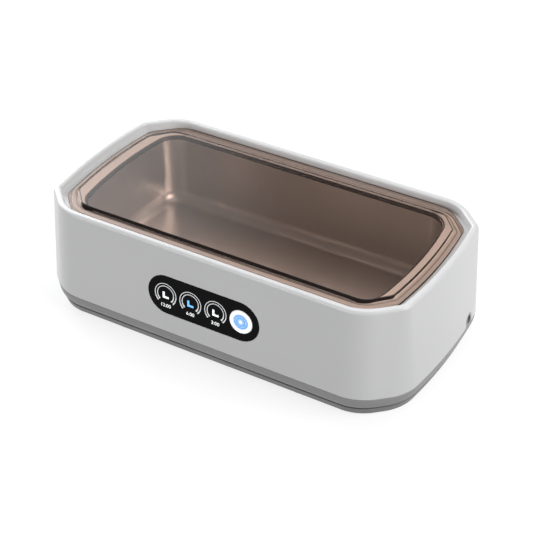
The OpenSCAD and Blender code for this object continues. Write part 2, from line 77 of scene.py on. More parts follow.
def top_of(node):
    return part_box(node)[1].z / MM


def foot_of(node):
    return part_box(node)[0].z / MM


body_h = top_of("upper_housing")
band_z = foot_of("upper_housing")
ledge_z = foot_of("lid")
plateau_z = top_of("lid")
flange_z = ledge_z + LID_T
bead_z = top_of("tank")
tank_rim_z = foot_of("tank_gasket")
seal_z = top_of("tank_gasket")
tank_under_z = foot_of("tank")
seat_z = tank_rim_z - TANK_T
seam_z = foot_of("base_frame")
under_z = foot_of("bottom_cover")
flare_h = body_h - FLARE_TOP


def wall_d(z):
    """How far the outer wall stands inside the rim's outline at a height."""
    return -FLARE * (flare_h - z) / flare_h


# ---------------------------------------------------------------- outlines and lofts
def corners(s):
    """The corners of an outline as X, Y and radius, counter-clockwise from the right end's middle."""
    hl, hw, cx, cy, bow, rs, re = s
    return [(hl, 0, 0), (hl - bow, hw - cy, re), (hl - cx, hw, rs),
            (cx - hl, hw, rs), (bow - hl, hw - cy, re), (-hl, 0, 0),
            (bow - hl, cy - hw, re), (cx - hl, -hw, rs),
            (hl - cx, -hw, rs), (hl - bow, cy - hw, re)]


def outline(s, d):
    """Outline s moved inwards by d, with each corner rounded.

    A corner without a radius of its own is a bowed side: its curve takes up nearly the whole side.
    """
    c = corners(s)
    n = len(c)
    normals, offsets = [], []
    for i in range(n):
        a, b = Vector(c[i][:2]), Vector(c[(i + 1) % n][:2])
        e = b - a
        normal = Vector((e.y, -e.x)).normalized()
        normals.append(normal)
        offsets.append(normal.dot(a) - d)
    tips, half = [], []
    for i in range(n):
        n0, n1 = normals[i - 1], normals[i]
        c0, c1 = offsets[i - 1], offsets[i]
        cross = n0.x * n1.y - n0.y * n1.x
        tips.append(Vector(((c0 * n1.y - c1 * n0.y) / cross, (c1 * n0.x - c0 * n1.x) / cross)))
        half.append(math.acos(min(1.0, n0.dot(n1))) / 2)
    cut = [max(c[i][2] - d, LEAST_R) * math.tan(half[i]) for i in range(n)]
    points = []
    for i in range(n):
        j = (i + 1) % n
        take = cut[i] if c[i][2] > 0 else BOW_SHARE * ((tips[j] - tips[i]).length - cut[j])
        r = take / math.tan(half[i])
        n0, n1 = normals[i - 1], normals[i]
        middle = tips[i] - (n0 + n1).normalized() * (r / math.cos(half[i]))
        start = math.atan2(n0.y, n0.x)
        steps = CORNER_STEPS if c[i][2] > 0 else BOW_STEPS
        for k in range(steps + 1):
            a = start + 2 * half[i] * k / steps
            points.append((middle.x + r * math.cos(a), middle.y + r * math.sin(a)))
    return points


def ring(s, d, z):
    """Outline s moved inwards by d, at a height."""
    return [(x, y, z) for x, y in outline(s, d)]


def body_ring(d, z):
    """The housing's outline, whose ends flatten and round off from the rim to the table."""
    t = 1 - z / flare_h
    fade = (-POINT_FADE, 0, -POINT_FADE, 0, -BOW_FADE, 0, END_R_LOW - BODY[6])
    return ring([value + t * change for value, change in zip(BODY, fade)], d, z)


def fillet_rings(d0, z0, r, a0, a1, steps):
    """Rings round a fillet of the rim: centre (d0, z0), radius r, angles from the inward axis."""
    out = []
    for k in range(steps + 1):
        a = math.radians(a0 + (a1 - a0) * k / steps)
        out.append(body_ring(d0 + r * math.cos(a), z0 + r * math.sin(a)))
    return out


def mesh_object(name, verts, faces, scale=MM):
    """A new mesh object, from points in millimetres unless another scale is given."""
    mesh = bpy.data.meshes.new(name)
    mesh.from_pydata([(x * scale, y * scale, z * scale) for x, y, z in verts], [], faces)
    mesh.validate()
    obj = bpy.data.objects.new(name, mesh)
    bpy.context.scene.collection.objects.link(obj)
    return obj


def loft(name, rings, closed=False):
    """A solid through rings of equal length, capped at both ends or closed on itself."""
    n = len(rings[0])
    m = len(rings)
    verts = [p for r in rings for p in r]
    faces = []
    for k in range(m if closed else m - 1):
        for i in range(n):
            a, b = k * n + i, ((k + 1) % m) * n + i
            c, d = ((k + 1) % m) * n + (i + 1) % n, k * n + (i + 1) % n
            faces.append((a, d, c, b))
    if not closed:
        faces.append(tuple(reversed(range(n))))
        faces.append(tuple(range((m - 1) * n, m * n)))
    obj = mesh_object(name, verts, faces)
    tidy(obj)
    return obj


def tidy(obj):
    """Joins doubled points and turns every face outwards."""
    bm = bmesh.new()
    bm.from_mesh(obj.data)
    bmesh.ops.remove_doubles(bm, verts=bm.verts, dist=1e-6)
    bmesh.ops.dissolve_degenerate(bm, edges=bm.edges, dist=1e-7)
    bmesh.ops.recalc_face_normals(bm, faces=bm.faces)
    bm.to_mesh(obj.data)
    bm.free()
    obj.data.update()


def smooth(obj, angle=32.0):
    """Smooth shading with sharp edges kept, and big faces deciding each normal."""
    bm = bmesh.new()
    bm.from_mesh(obj.data)
    limit = math.radians(angle)
    for f in bm.faces:
        f.smooth = True
    for e in bm.edges:
        e.smooth = len(e.link_faces) == 2 and e.calc_face_angle(0.0) < limit
    bm.to_mesh(obj.data)
    bm.free()
    mod = obj.modifiers.new("normals", "WEIGHTED_NORMAL")
    mod.keep_sharp = True
    mod.weight = 60


def apply_modifiers(obj):
    """Replaces the object's mesh with its evaluated one."""
    deps = bpy.context.evaluated_depsgraph_get()
    done = bpy.data.meshes.new_from_object(obj.evaluated_get(deps))
    obj.modifiers.clear()
    old = obj.data
    obj.data = done
    bpy.data.meshes.remove(old)


def combine(obj, tool, operation):
    """An exact boolean that uses up its tool."""
    mod = obj.modifiers.new("combine", "BOOLEAN")
    mod.solver = "EXACT"
    mod.operation = operation
    mod.object = tool
    bpy.context.view_layer.update()
    apply_modifiers(obj)
    bpy.data.objects.remove(tool)


def on_circle(centre, r, k, sides):
    """The k-th of several points spread evenly round a circle."""
    a = 2 * math.pi * k / sides
    return centre[0] + r * math.cos(a), centre[1] + r * math.sin(a)


def cylinder(name, r, z0, z1, sides=64, centre=(0, 0)):
    """A closed cylinder along Z, in millimetres."""
    low = [(*on_circle(centre, r, i, sides), z0) for i in range(sides)]
    high = [(*on_circle(centre, r, i, sides), z1) for i in range(sides)]
    faces = [(i, (i + 1) % sides, sides + (i + 1) % sides, sides + i) for i in range(sides)]
    faces += [tuple(reversed(range(sides))), tuple(range(sides, 2 * sides))]
    obj = mesh_object(name, low + high, faces)
    tidy(obj)
    return obj


def prism(name, points, z0, z1):
    """A closed prism over a convex or simple outline, in millimetres."""
    n = len(points)
    verts = [(x, y, z0) for x, y in points] + [(x, y, z1) for x, y in points]
    faces = [(i, (i + 1) % n, n + (i + 1) % n, n + i) for i in range(n)]
    faces += [tuple(reversed(range(n))), tuple(range(n, 2 * n))]
    obj = mesh_object(name, verts, faces)
    tidy(obj)
    return obj


def place(obj, matrix):
    """Moves the mesh itself, and hands the object back."""
    obj.data.transform(matrix)
    obj.data.update()
    return obj


def joined(name, objects):
    """One object that holds the meshes of several separate ones."""
    bm = bmesh.new()
    for obj in objects:
        bm.from_mesh(obj.data)
        bpy.data.objects.remove(obj)
    mesh = bpy.data.meshes.new(name)
    bm.to_mesh(mesh)
    bm.free()
    whole = bpy.data.objects.new(name, mesh)
    bpy.context.scene.collection.objects.link(whole)
    return whole


def turned(name, profile, sides=96, centre=(0, 0)):
    """A turned piece about +Z, from (radius, height) points that start and end on the axis."""
    n = len(profile)
    verts = [(*on_circle(centre, r, k, sides), z) for k in range(sides) for r, z in profile]
    faces = []
    for k in range(sides):
        k1 = (k + 1) % sides
        for i in range(n - 1):
            faces.append((k * n + i, k * n + i + 1, k1 * n + i + 1, k1 * n + i))
    obj = mesh_object(name, verts, faces)
    tidy(obj)
    return obj


def rounded(r, z, size, a0, a1, steps=5):
    """Profile points round a quarter turn of the given radius, from its centre."""
    angles = [math.radians(a0 + (a1 - a0) * k / steps) for k in range(steps + 1)]
    return [(r + size * math.cos(a), z + size * math.sin(a)) for a in angles]


# ---------------------------------------------------------------- the panel's own frame
panel_low, panel_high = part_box("control_panel")
panel_x = (panel_low.x + panel_high.x) / 2 / MM
panel_l = (panel_high.x - panel_low.x) / MM
PANEL_H = 20.6
PANEL_Z = 32.2
LEAN = math.atan(FLARE / flare_h)
panel_y = wall_d(PANEL_Z) - BODY[1]
PANEL = (Matrix.Translation(Vector((panel_x, panel_y, PANEL_Z)) * MM)
         @ Matrix.Rotation(math.pi / 2 - LEAN, 4, "X"))
DIAL_PITCH = 13.6
DIALS = [DIAL_PITCH * k for k in (-1.5, -0.5, 0.5)]
BUTTON_X = 1.5 * DIAL_PITCH
BUTTON_R = 5.9


def pill_points(length, height, steps=28):
    """Outline of a round-ended bar along X about its middle."""
    r = height / 2
    out = []
    for side, a0 in ((1, -90), (-1, 90)):
        for k in range(steps + 1):
            a = math.radians(a0 + 180 * k / steps)
            out.append((side * (length / 2 - r) + r * math.cos(a), r * math.sin(a)))
    return out


# ---------------------------------------------------------------- materials
def nodes_of(name):
    """A new material with its node tree and its main shader."""
    mat = bpy.data.materials.new(name)
    mat.use_nodes = True
    tree = mat.node_tree
    return mat, tree, tree.nodes["Principled BSDF"]


def add(tree, kind, **values):
    """A new node, with the given settings."""
    node = tree.nodes.new(kind)
    for key, value in values.items():
        if hasattr(node, key):
            setattr(node, key, value)
        else:
            node.inputs[key].default_value = value
    return node


def object_place(tree, scale=(1, 1, 1)):
    """The object's own coordinates, stretched by a scale."""
    coord = add(tree, "ShaderNodeTexCoord")
    mapping = add(tree, "ShaderNodeMapping")
    mapping.inputs["Scale"].default_value = scale
    tree.links.new(coord.outputs["Object"], mapping.inputs["Vector"])
    return mapping.outputs["Vector"]


def noise(tree, vector, scale, detail=4.0, rough=0.55):
    """Fractal noise from 0 to 1."""
    node = add(tree, "ShaderNodeTexNoise")
    node.inputs["Scale"].default_value = scale
    node.inputs["Detail"].default_value = detail
    node.inputs["Roughness"].default_value = rough
    tree.links.new(vector, node.inputs["Vector"])
    return node.outputs["Fac"]


def ramp(tree, value, low, high, p0=0.3, p1=0.7):
    """A value that runs from low to high while its input runs from p0 to p1."""
    node = add(tree, "ShaderNodeMapRange")
    node.inputs["From Min"].default_value = p0
    node.inputs["From Max"].default_value = p1
    node.inputs["To Min"].default_value = low
    node.inputs["To Max"].default_value = high
    node.clamp = True
    tree.links.new(value, node.inputs["Value"])
    return node.outputs["Result"]


def mix_colour(tree, factor, a, b, blend="MIX"):
    """Two colours mixed, where each is a fixed colour or another node's output."""
    node = add(tree, "ShaderNodeMix")
    node.data_type = "RGBA"
    node.blend_type = blend
    if isinstance(factor, float):
        node.inputs["Factor"].default_value = factor
    else:
        tree.links.new(factor, node.inputs["Factor"])
    ins = [s for s in node.inputs if s.type == "RGBA"]
    outs = [s for s in node.outputs if s.type == "RGBA"]
    for socket, value in zip(ins, (a, b)):
        if isinstance(value, tuple):
            socket.default_value = (*value[:3], 1)
        else:
            tree.links.new(value, socket)
    return outs[0]


def bump(tree, shader, height, strength, distance=0.0002):
    """Small relief on a shader's normal."""
    node = add(tree, "ShaderNodeBump")
    node.inputs["Strength"].default_value = strength
    node.inputs["Distance"].default_value = distance
    tree.links.new(height, node.inputs["Height"])
    tree.links.new(node.outputs["Normal"], shader.inputs["Normal"])


def plastic(name, colour, rough=0.35, grain=1400.0, grain_depth=0.05, spread=0.05, coat=0.0,
            specular=0.5, uneven=0.12):
    """Moulded plastic: slow colour drift, fine moulded grain and uneven gloss."""
    mat, tree, bsdf = nodes_of(name)
    at = object_place(tree)
    slow = noise(tree, at, 22.0, 3.0)
    fine = noise(tree, at, grain, 3.0)
    mid = noise(tree, at, 160.0, 5.0)
    dark = tuple(c * (1 - spread) for c in colour)
    light = tuple(min(1.0, c * (1 + spread)) for c in colour)
    base = mix_colour(tree, ramp(tree, slow, 0.0, 1.0), dark, light)
    tree.links.new(base, bsdf.inputs["Base Color"])
    gloss = ramp(tree, mid, rough * (1 - uneven), rough * (1 + uneven))
    tree.links.new(gloss, bsdf.inputs["Roughness"])
    bump(tree, bsdf, fine, grain_depth)
    bsdf.inputs["Specular IOR Level"].default_value = specular
    bsdf.inputs["Coat Weight"].default_value = coat
    bsdf.inputs["Coat Roughness"].default_value = 0.06
    return mat


def metal(name, colour, rough=0.28, stretch=(1, 1, 1), scale=300.0, depth=0.06, spread=0.06,
          uneven=0.3):
    """Drawn or brushed metal: stretched grain in its bump and roughness, with faint stains."""
    mat, tree, bsdf = nodes_of(name)
    grain = noise(tree, object_place(tree, stretch), scale, 6.0, 0.6)
    stain = noise(tree, object_place(tree), 30.0, 5.0, 0.6)
    dark = tuple(c * (1 - spread) for c in colour)
    light = tuple(min(1.0, c * (1 + spread)) for c in colour)
    base = mix_colour(tree, ramp(tree, stain, 0.0, 1.0), dark, light)
    tree.links.new(base, bsdf.inputs["Base Color"])
    gloss = ramp(tree, grain, rough * (1 - uneven), rough * (1 + uneven))
    tree.links.new(gloss, bsdf.inputs["Roughness"])
    bsdf.inputs["Metallic"].default_value = 1.0
    bump(tree, bsdf, grain, depth)
    return mat


def glow(name, colour, strength, base=None):
    """A lit mark: slightly uneven light through a milky skin."""
    mat, tree, bsdf = nodes_of(name)
    at = object_place(tree)
    uneven = ramp(tree, noise(tree, at, 500.0, 3.0), 0.88, 1.06)
    bsdf.inputs["Base Color"].default_value = (*(base or colour), 1)
    bsdf.inputs["Roughness"].default_value = 0.3
    bsdf.inputs["Emission Color"].default_value = (*colour, 1)
    power = add(tree, "ShaderNodeMath", operation="MULTIPLY")
    power.inputs[1].default_value = strength
    tree.links.new(uneven, power.inputs[0])
    tree.links.new(power.outputs[0], bsdf.inputs["Emission Strength"])
    bump(tree, bsdf, noise(tree, at, 1500.0), 0.03)
    return mat


def clear_lid(name, share=1.0):
    """Thin brown transparent plastic that passes a share of the light, less at grazing angles; a share
    below one gives a darker copy used as painted shade.
    """
    mat = bpy.data.materials.new(name)
    mat.use_nodes = True
    tree = mat.node_tree
    tree.nodes.clear()
    out = add(tree, "ShaderNodeOutputMaterial")
    at = object_place(tree)
    cloud = noise(tree, at, 14.0, 4.0)
    fine = noise(tree, object_place(tree, (1, 5, 1)), 600.0, 4.0)
    facing = add(tree, "ShaderNodeLayerWeight")
    facing.inputs["Blend"].default_value = 0.35
    thin = mix_colour(tree, ramp(tree, cloud, 0.0, 1.0), (0.90, 0.835, 0.80), (0.915, 0.853, 0.822))
    grazing = ramp(tree, facing.outputs["Facing"], 0.0, 0.55, 0.35, 1.0)
    tint = mix_colour(tree, grazing, thin, (0.30, 0.22, 0.19))
    tint = mix_colour(tree, 1.0, tint, (share, share, share), "MULTIPLY")
    through = add(tree, "ShaderNodeBsdfTransparent")
    entering = mix_colour(tree, 1.0, tint, (0.90, 0.89, 0.88), "MULTIPLY")
    tree.links.new(entering, through.inputs["Color"])
    bent = add(tree, "ShaderNodeBsdfRefraction")
    bent.inputs["IOR"].default_value = 1.49
    bent.inputs["Roughness"].default_value = 0.0
    tree.links.new(tint, bent.inputs["Color"])
    # Light reaches the tank straight through the sheet, while sight lines bend at its slopes
    path = add(tree, "ShaderNodeLightPath")
    straight = add(tree, "ShaderNodeMath", operation="MAXIMUM")
    tree.links.new(path.outputs["Is Shadow Ray"], straight.inputs[0])
    tree.links.new(path.outputs["Is Diffuse Ray"], straight.inputs[1])
    clear = add(tree, "ShaderNodeMixShader")
    tree.links.new(straight.outputs[0], clear.inputs["Fac"])
    tree.links.new(bent.outputs[0], clear.inputs[1])
    tree.links.new(through.outputs[0], clear.inputs[2])
    gloss = add(tree, "ShaderNodeBsdfGlossy")
    gloss.inputs["Color"].default_value = (0.5, 0.5, 0.5, 1)
    tree.links.new(ramp(tree, fine, 0.035, 0.05), gloss.inputs["Roughness"])
    body = add(tree, "ShaderNodeBsdfDiffuse")
    body.inputs["Color"].default_value = (0.36, 0.25, 0.21, 1)
    fresnel = add(tree, "ShaderNodeFresnel")
    fresnel.inputs["IOR"].default_value = 1.47
    fill = add(tree, "ShaderNodeMixShader")
    fill.inputs["Fac"].default_value = 0.02
    tree.links.new(clear.outputs[0], fill.inputs[1])
    tree.links.new(body.outputs[0], fill.inputs[2])
    side = add(tree, "ShaderNodeNewGeometry")
    outer = add(tree, "ShaderNodeMath", operation="SUBTRACT")
    outer.inputs[0].default_value = 1.0
    tree.links.new(side.outputs["Backfacing"], outer.inputs[1])
    sheen = add(tree, "ShaderNodeMath", operation="MULTIPLY")
    tree.links.new(fresnel.outputs[0], sheen.inputs[0])
    tree.links.new(outer.outputs[0], sheen.inputs[1])
    final = add(tree, "ShaderNodeMixShader")
    tree.links.new(sheen.outputs[0], final.inputs["Fac"])
    tree.links.new(fill.outputs[0], final.inputs[1])
    tree.links.new(gloss.outputs[0], final.inputs[2])
    tree.links.new(final.outputs[0], out.inputs["Surface"])
    ripple = add(tree, "ShaderNodeBump")
    ripple.inputs["Strength"].default_value = 0.02
    ripple.inputs["Distance"].default_value = 0.0002
    tree.links.new(cloud, ripple.inputs["Height"])
    tree.links.new(ripple.outputs["Normal"], gloss.inputs["Normal"])
    return mat


def circuit(name):
    """Green solder mask with paler tracks and bare pads."""
    mat, tree, bsdf = nodes_of(name)
    at = object_place(tree)
    brick = add(tree, "ShaderNodeTexBrick")
    brick.inputs["Scale"].default_value = 260.0
    brick.inputs["Mortar Size"].default_value = 0.03
    brick.inputs["Color1"].default_value = (0.012, 0.10, 0.045, 1)
    brick.inputs["Color2"].default_value = (0.015, 0.12, 0.05, 1)
    brick.inputs["Mortar"].default_value = (0.04, 0.24, 0.10, 1)
    tree.links.new(at, brick.inputs["Vector"])
    dots = add(tree, "ShaderNodeTexVoronoi")
    dots.inputs["Scale"].default_value = 420.0
    tree.links.new(at, dots.inputs["Vector"])
    pad = ramp(tree, dots.outputs["Distance"], 1.0, 0.0, 0.10, 0.16)
    colour = mix_colour(tree, pad, brick.outputs["Color"], (0.55, 0.52, 0.42))
    tree.links.new(colour, bsdf.inputs["Base Color"])
    tree.links.new(ramp(tree, pad, 0.35, 0.25, 0.0, 1.0), bsdf.inputs["Roughness"])
    bump(tree, bsdf, brick.outputs["Fac"], 0.15)
    return mat


def button_face(name, centre):
    """Blue lit lens: a white middle, paler rings and fine bright cells about its centre."""
    mat, tree, bsdf = nodes_of(name)
    coord = add(tree, "ShaderNodeTexCoord")
    away = add(tree, "ShaderNodeVectorMath", operation="SUBTRACT")
    away.inputs[1].default_value = centre
    tree.links.new(coord.outputs["Object"], away.inputs[0])
    length = add(tree, "ShaderNodeVectorMath", operation="LENGTH")
    tree.links.new(away.outputs["Vector"], length.inputs[0])
    wave = add(tree, "ShaderNodeMath", operation="SINE")
    scaled = add(tree, "ShaderNodeMath", operation="MULTIPLY")
    scaled.inputs[1].default_value = 5200.0
    tree.links.new(length.outputs["Value"], scaled.inputs[0])
    tree.links.new(scaled.outputs[0], wave.inputs[0])
    cells = add(tree, "ShaderNodeTexVoronoi")
    cells.inputs["Scale"].default_value = 1500.0
    tree.links.new(coord.outputs["Object"], cells.inputs["Vector"])
    rings = ramp(tree, wave.outputs[0], 0.0, 1.0, -1.0, 1.0)
    blue = mix_colour(tree, rings, (0.10, 0.33, 0.80), (0.27, 0.58, 0.95))
    spots = ramp(tree, cells.outputs["Distance"], 0.5, 0.0, 0.1, 0.5)
    sparkle = mix_colour(tree, spots, blue, (0.7, 0.85, 1.0))
    inside = ramp(tree, length.outputs["Value"], 1.0, 0.0, 0.0006, 0.0013)
    middle = mix_colour(tree, inside, sparkle, (1.0, 1.0, 1.0))
    outside = ramp(tree, length.outputs["Value"], 0.0, 0.7, 0.0030, 0.0038)
    rim = mix_colour(tree, outside, middle, (0.20, 0.42, 0.72))
    tree.links.new(rim, bsdf.inputs["Base Color"])
    tree.links.new(rim, bsdf.inputs["Emission Color"])
    bsdf.inputs["Emission Strength"].default_value = 0.32
    bsdf.inputs["Roughness"].default_value = 0.2
    bump(tree, bsdf, wave.outputs[0], 0.05)
    return mat


MATS = {
    "housing": plastic("housing", (0.55, 0.55, 0.552), 0.30, 1600.0, 0.012, 0.012, 0.15, 0.5, 0.05),
    "steel": metal("steel", (0.53, 0.51, 0.49), 0.34, (0.12, 1, 1), 900.0, 0.003, 0.04, 0.08),
    # Near-black steel for the tank's rolled lip: painted dark reflection and shade, not the steel's own
    # colour
    "steel_lip_painted_dark": metal("steel_lip_painted_dark", (0.05, 0.045, 0.042), 0.16, (1, 1, 1), 900.0, 0.004, 0.04,
                       0.08),
    "silicone": plastic("silicone", (0.86, 0.86, 0.85), 0.6),
    "base_grey": plastic("base_grey", (0.245, 0.245, 0.245), 0.42, 1500.0, 0.06, 0.03),
    "cover_grey": plastic("cover_grey", (0.17, 0.17, 0.172), 0.45, 1500.0, 0.06, 0.03),
    "foot_rubber": plastic("foot_rubber", (0.045, 0.045, 0.047), 0.8, 2500.0, 0.25, 0.08),
    "screw_steel": metal("screw_steel", (0.66, 0.66, 0.68), 0.22, (1, 1, 1), 1500.0, 0.08),
    "ceramic": plastic("ceramic", (0.70, 0.68, 0.62), 0.4, 1200.0, 0.08, 0.05),
    "wire_red": plastic("wire_red", (0.55, 0.03, 0.03), 0.45, 2500.0, 0.1),
    "wire_black": plastic("wire_black", (0.02, 0.02, 0.02), 0.45, 2500.0, 0.1),
    "circuit_board": circuit("circuit_board"),
    "ferrite": plastic("ferrite", (0.05, 0.05, 0.055), 0.6, 1800.0, 0.3, 0.1),
    "winding": plastic("winding", (0.75, 0.5, 0.06), 0.3, 900.0, 0.05),
    "capacitor_sleeve": plastic("capacitor_sleeve", (0.02, 0.03, 0.10), 0.25),
    "film_case": plastic("film_case", (0.30, 0.03, 0.02), 0.3),
    "black_case": plastic("black_case", (0.018, 0.018, 0.018), 0.45, 2000.0, 0.12),
    "heat_sink_metal": metal("heat_sink_metal", (0.78, 0.79, 0.8), 0.3, (1, 1, 0.1), 1200.0, 0.1),
    "header_white": plastic("header_white", (0.72, 0.71, 0.64), 0.45),
    "panel_black": plastic("panel_black", (0.0022, 0.0022, 0.0024), 0.12, 2200.0, 0.005, 0.02,
                           specular=0.05),
    "diffuser": plastic("diffuser", (0.75, 0.75, 0.75), 0.4),
    "led": plastic("led", (0.8, 0.8, 0.6), 0.2),
    "button_white": glow("button_white", (1.0, 1.0, 1.0), 0.36, (0.9, 0.9, 0.9)),
    "cable_grey": plastic("cable_grey", (0.06, 0.06, 0.065), 0.5),
    "pin_metal": metal("pin_metal", (0.83, 0.8, 0.72), 0.2),
    "smoked_clear": clear_lid("smoked_clear"),
    # Darker copies of the lid's plastic for the bends of its slope: painted shade
    "smoked_bend_painted_shade": clear_lid("smoked_bend_painted_shade", 0.6),
    "smoked_crest_painted_shade": clear_lid("smoked_crest_painted_shade", 0.15),
    "mark_white": glow("mark_white", (0.85, 0.87, 0.88), 0.75),
    "mark_dim": glow("mark_dim", (0.62, 0.63, 0.64), 0.42),
    "mark_blue": glow("mark_blue", (0.12, 0.40, 0.90), 0.95),
}
lens_front = PANEL @ Vector((BUTTON_X * MM, 0, 0.0003))
MATS["button_blue"] = button_face("button_blue", lens_front)


def dress(obj, slot):
    """Gives the whole object one material."""
    obj.data.materials.clear()
    obj.data.materials.append(MATS[slot])


def keep(obj, body, slot, *replaced, look=None):
    """Dresses a finished piece in its material slot, or another look, hangs it under its body and hides
    the nodes it replaces.
    """
    dress(obj, look or slot)
    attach(obj, body)
    if replaced:
        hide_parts(*replaced)
    return obj


for entry in frame["record"]["subparts"]:
    dress(NODES[entry["node"]], entry["material_slot"])

# ---------------------------------------------------------------- upper housing
FOOT_CHAMFER = 0.25
BOX_ROOM = 0.02
STRAIGHT_Z = body_h - CROWN_R - 0.4
SEAL_SLOT_D = -2.3
TANK_ROOM = 1.6
LEDGE_T = 1.8
shell_rings = [
    body_ring(wall_d(band_z) + FOOT_CHAMFER, band_z),
    body_ring(wall_d(band_z + FOOT_CHAMFER) + BOX_ROOM, band_z + FOOT_CHAMFER),
    body_ring(wall_d(STRAIGHT_Z), STRAIGHT_Z),
]
shell_rings += fillet_rings(CROWN_R, body_h - CROWN_R, CROWN_R, 180, 90, 9)
shell_rings += fillet_rings(RIM_W - BROW_R, body_h - BROW_R, BROW_R, 90, 0, 6)
shell_rings += [
    body_ring(RIM_W, ledge_z + 0.3),
    body_ring(RIM_W + 0.09, ledge_z + 0.09),
    body_ring(RIM_W + 0.3, ledge_z),
    ring(RAISE, SEAL_SLOT_D - 0.15, ledge_z),
    ring(RAISE, SEAL_SLOT_D, ledge_z - 0.15),
    ring(RAISE, SEAL_SLOT_D, seat_z),
    ring(TANK, -TANK_ROOM, seat_z),
    ring(TANK, -TANK_ROOM, seat_z - LEDGE_T),
    body_ring(wall_d(seat_z - LEDGE_T) + WALL, seat_z - LEDGE_T),
    body_ring(wall_d(band_z) + WALL, band_z),
]
shell = loft("housing_shell", shell_rings, closed=True)

NOTCH_R = 3.35
JACK_Y = 23.0
JACK_Z = 14.6
# Cuts through the right end wall run between these two X values
END_CUT = (80, 110)


def arch_points(r, low):
    """Outline, in Y and Z, of an arch about the inlet, open at the foot."""
    pts = [(JACK_Y + r, low), (JACK_Y + r, JACK_Z)]
    steps = 28
    for k in range(1, steps):
        a = math.pi * k / steps
        pts.append((JACK_Y + r * math.cos(a), JACK_Z + r * math.sin(a)))
    return pts + [(JACK_Y - r, JACK_Z), (JACK_Y - r, low)]


def arch(name, r, low):
    """A bar of that arched section along X: its outline's X and Y become Y and Z."""
    bar = prism(name, arch_points(r, low), *END_CUT)
    return place(bar, Matrix(((0, 0, 1, 0), (1, 0, 0, 0), (0, 1, 0, 0), (0, 0, 0, 1))))


combine(shell, arch("cut_notch", NOTCH_R, band_z - 2), "DIFFERENCE")
PANEL_GAP = 0.1
PANEL_T = 1.2
WINDOW_R = 5.1
BUTTON_GAP = 0.2
# Holes through the wall behind the panel run between these two depths
WALL_CUT = (-3.2, -0.4)
pocket_points = pill_points(panel_l + 2 * PANEL_GAP, PANEL_H + 2 * PANEL_GAP)
combine(shell, place(prism("cut_pocket", pocket_points, -PANEL_T, 4), PANEL), "DIFFERENCE")
for x in DIALS:
    window = cylinder("cut_window", WINDOW_R, *WALL_CUT, 48, (x, 0))
    combine(shell, place(window, PANEL), "DIFFERENCE")
button_hole = cylinder("cut_button", BUTTON_R + BUTTON_GAP, *WALL_CUT, 64, (BUTTON_X, 0))
combine(shell, place(button_hole, PANEL), "DIFFERENCE")
tidy(shell)
smooth(shell)
keep(shell, "body", "housing", "upper_housing")

# ---------------------------------------------------------------- tank
TANK_R = 6.0
TANK_DRAFT = 1.5
LIP_R = 0.9
LIP_H = 1.5
bend_z = tank_under_z + TANK_T + TANK_R
bend_d = TANK_DRAFT + TANK_R


def floor_bend(r, a):
    """A ring of the tank's floor fillet at radius r, a degrees below its centre."""
    angle = math.radians(a)
    return ring(TANK, bend_d - r * math.cos(angle), bend_z - r * math.sin(angle))


def lip_bend(a):
    """A ring of the lip's roll, a degrees round from its top."""
    angle = math.radians(a)
    return ring(TANK, LIP_R * math.sin(angle) - LIP_R, bead_z - LIP_R + LIP_R * math.cos(angle))


tank_rings = [floor_bend(TANK_R + TANK_T, a) for a in range(90, -1, -10)]
tank_rings += [
    ring(TANK, -TANK_T, tank_rim_z - TANK_T),
    ring(RAISE, -2.1, tank_rim_z - TANK_T),
    ring(RAISE, -2.1, tank_rim_z),
    ring(RAISE, 1.25, tank_rim_z),
    ring(RAISE, 1.4, tank_rim_z + 0.1),
    ring(RAISE, 1.95, bead_z - 0.12),
    ring(RAISE, 2.15, bead_z),
]
tank_rings += [lip_bend(a) for a in range(0, 91, 15)]
tank_rings.append(ring(TANK, 0.04, bead_z - LIP_H - 0.2))
tank_rings += [floor_bend(TANK_R, a) for a in range(0, 91, 9)]
tank = loft("steel_tank", tank_rings)
smooth(tank, 38)
keep(tank, "body", "steel", "tank")
# The rolled lip round the opening gets a near-black steel: painted dark reflection and shade along the
# opening's edge, darker than the tank's own steel
tank.data.materials.append(MATS["steel_lip_painted_dark"])
for face in tank.data.polygons:
    face_top = max(tank.data.vertices[v].co.z for v in face.vertices)
    if face.center.z > (bead_z - LIP_H) * MM and face_top > tank_rim_z * MM:
        face.material_index = 1

# ---------------------------------------------------------------- seal over the tank's flange
seal_low_z = tank_rim_z + seal_z - bead_z
seal_rings = [
    ring(RAISE, -1.9, tank_rim_z),
    ring(RAISE, -1.9, seal_low_z - 0.12),
    ring(RAISE, -1.78, seal_low_z),
    ring(RAISE, 0.95, seal_low_z),
    ring(RAISE, 1.1, seal_low_z + 0.06),
    ring(RAISE, 1.25, seal_low_z + 0.2),
    ring(RAISE, 1.78, seal_z - 0.14),
    ring(RAISE, 1.92, seal_z - 0.03),
    ring(RAISE, 2.05, seal_z),
    ring(TANK, -1.6, seal_z),
    ring(TANK, -1.4, seal_z - 0.07),
    ring(TANK, -1.32, seal_z - 0.25),
    ring(TANK, -1.3, bead_z),
    ring(RAISE, 2.15, bead_z),
    ring(RAISE, 1.4, tank_rim_z + 0.1),
    ring(RAISE, 1.25, tank_rim_z),
]
seal = loft("flange_seal", seal_rings, closed=True)
smooth(seal, 40)
keep(seal, "body", "silicone", "tank_gasket")

